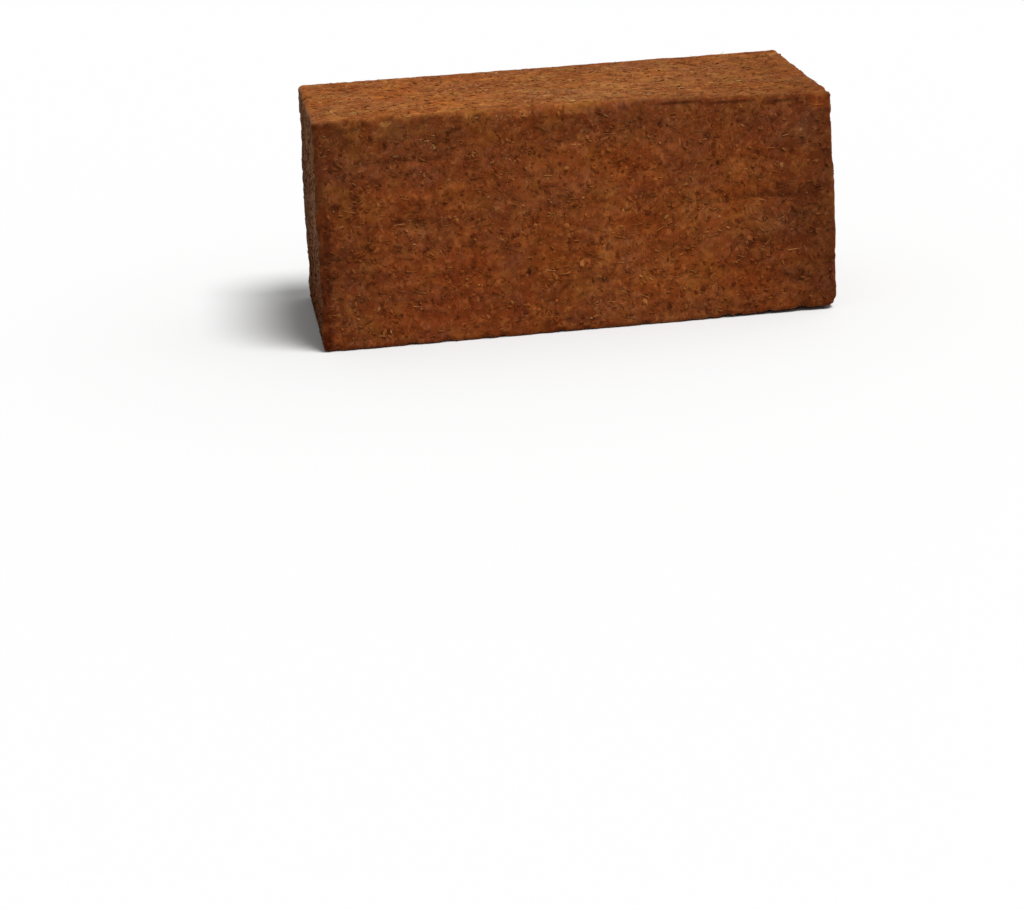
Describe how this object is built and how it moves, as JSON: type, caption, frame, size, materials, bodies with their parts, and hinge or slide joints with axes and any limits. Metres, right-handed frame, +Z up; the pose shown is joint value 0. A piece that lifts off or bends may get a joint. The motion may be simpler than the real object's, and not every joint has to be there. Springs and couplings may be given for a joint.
{
  "type": "coconut coir bale",
  "caption": "Rectangular block of pressed coconut coir pith and short fibre, with flat pressed faces, faint press layers and worn, crumbled edges.",
  "frame": {"origin": "centre of the underside, on the surface that the bale rests on", "axes": "+X along the length, +Y from the front wall to the back wall, +Z up, the way the press closed"},
  "size_m": [0.21, 0.092, 0.092],
  "materials": {
    "coir_pith": "matte",
    "coir_fibre": "matte",
    "husk_fleck": "matte"
  },
  "bodies": {
    "root": {"coir_block": "coir_pith"}
  },
  "joints": []
}
